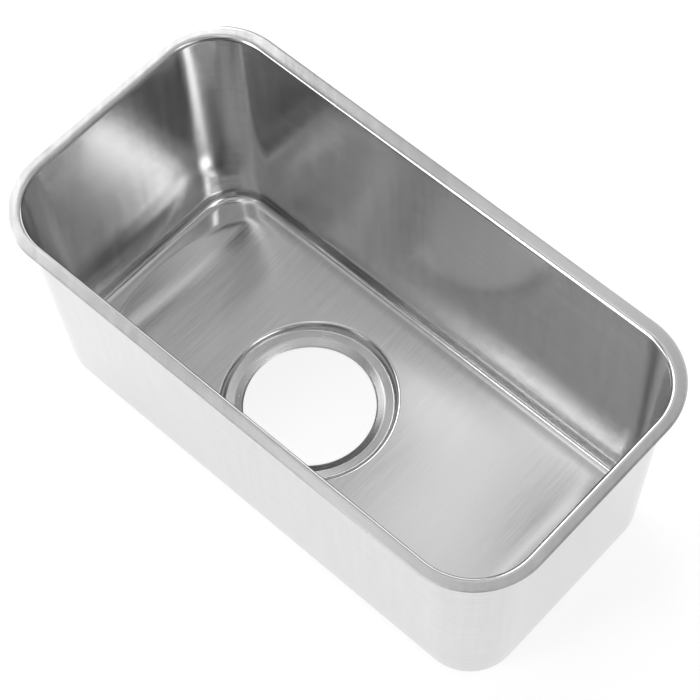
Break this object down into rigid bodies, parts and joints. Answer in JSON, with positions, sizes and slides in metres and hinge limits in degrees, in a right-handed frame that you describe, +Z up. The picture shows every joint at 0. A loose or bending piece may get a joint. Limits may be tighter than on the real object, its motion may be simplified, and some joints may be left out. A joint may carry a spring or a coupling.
{
  "type": "camper sink",
  "caption": "Narrow rectangular stainless sink bowl for a camper galley, with a flat rim, round corners, a dished floor and an offset open drain with a strainer seat.",
  "frame": {"origin": "middle of the rim in plan, at the level of the drain hole's lower edge", "axes": "+Z up out of the bowl, +X along its length, +Y across it, away from the side that the drain lies nearer to"},
  "size_m": [0.41, 0.212, 0.18],
  "materials": {
    "steel": "fine satin brushing along the bowl's length, as pressed stainless sheet",
    "rubber": "matt black die-cut sheet"
  },
  "bodies": {
    "root": {"sink_bowl": "steel", "sound_pad_left": "rubber", "sound_pad_right": "rubber"}
  },
  "joints": []
}
